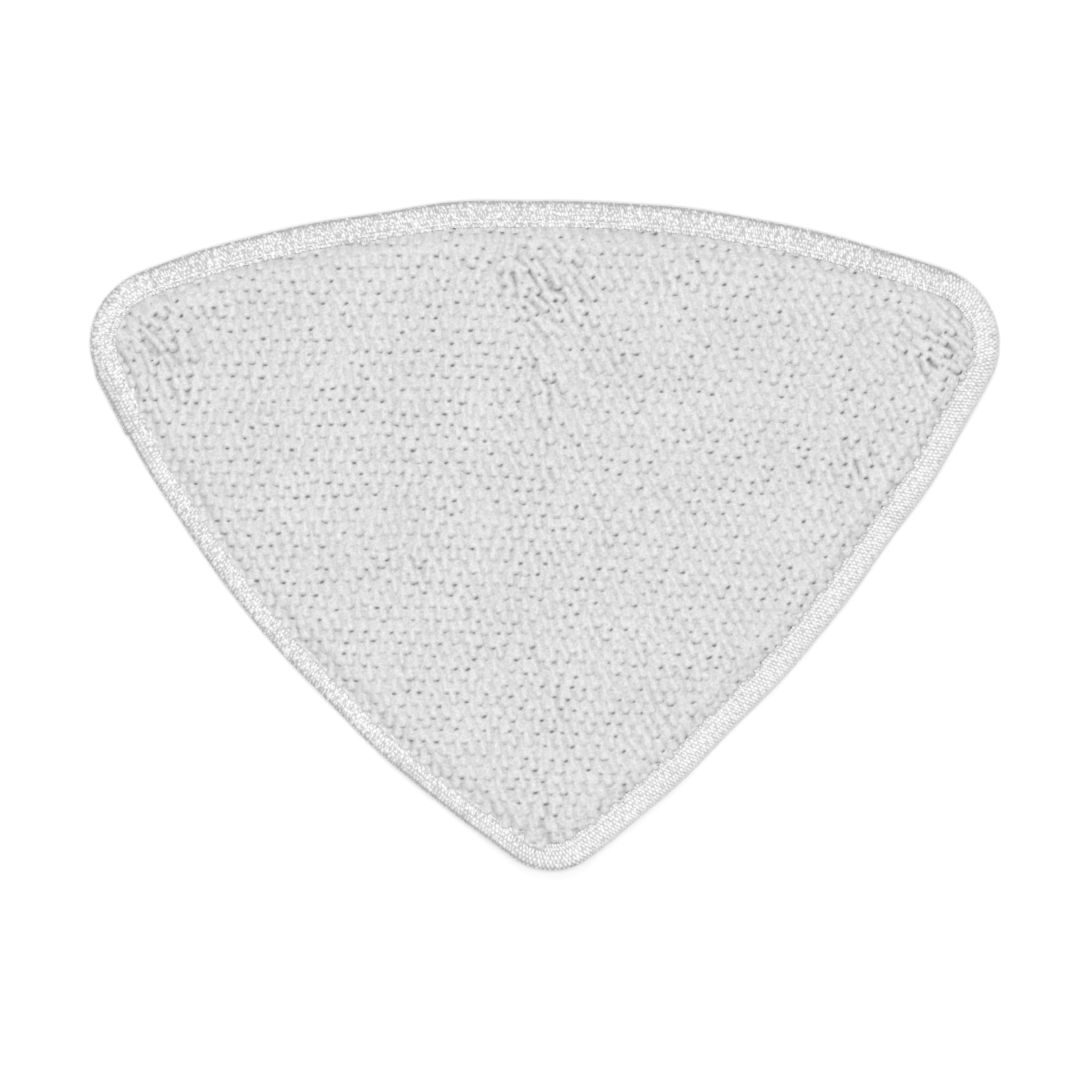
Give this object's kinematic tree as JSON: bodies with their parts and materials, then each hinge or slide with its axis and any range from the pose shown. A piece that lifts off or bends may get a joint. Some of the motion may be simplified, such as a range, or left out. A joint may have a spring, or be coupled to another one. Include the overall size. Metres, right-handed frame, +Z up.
{
  "type": "steam mop pad",
  "caption": "Rounded triangular microfibre pad for a steam mop head: looped pile face, absorbent core and loop-knit back inside a sewn edge binding tape.",
  "frame": {"origin": "on the surface that the pad lies on, under the middle of the outline's box", "axes": "+X across the pad's width, +Y from the blunt tip to the middle of the long curved edge, +Z up out of the pile"},
  "size_m": [0.3, 0.221, 0.0091],
  "materials": {
    "microfibre_pile": "soft matte split-fibre pile",
    "ground_knit": "matte tight knit",
    "wadding": "matte bonded fibre",
    "loop_knit": "matte brushed loops",
    "binding_tape": "satin woven filament",
    "sewing_thread": "satin spun thread"
  },
  "bodies": {
    "root": {"pile_loops": "microfibre_pile", "face_ground_knit": "ground_knit", "core_wadding": "wadding", "back_loop_knit": "loop_knit", "edge_binding_tape": "binding_tape", "needle_thread_stitches": "sewing_thread", "bobbin_thread_stitches": "sewing_thread"}
  },
  "joints": []
}
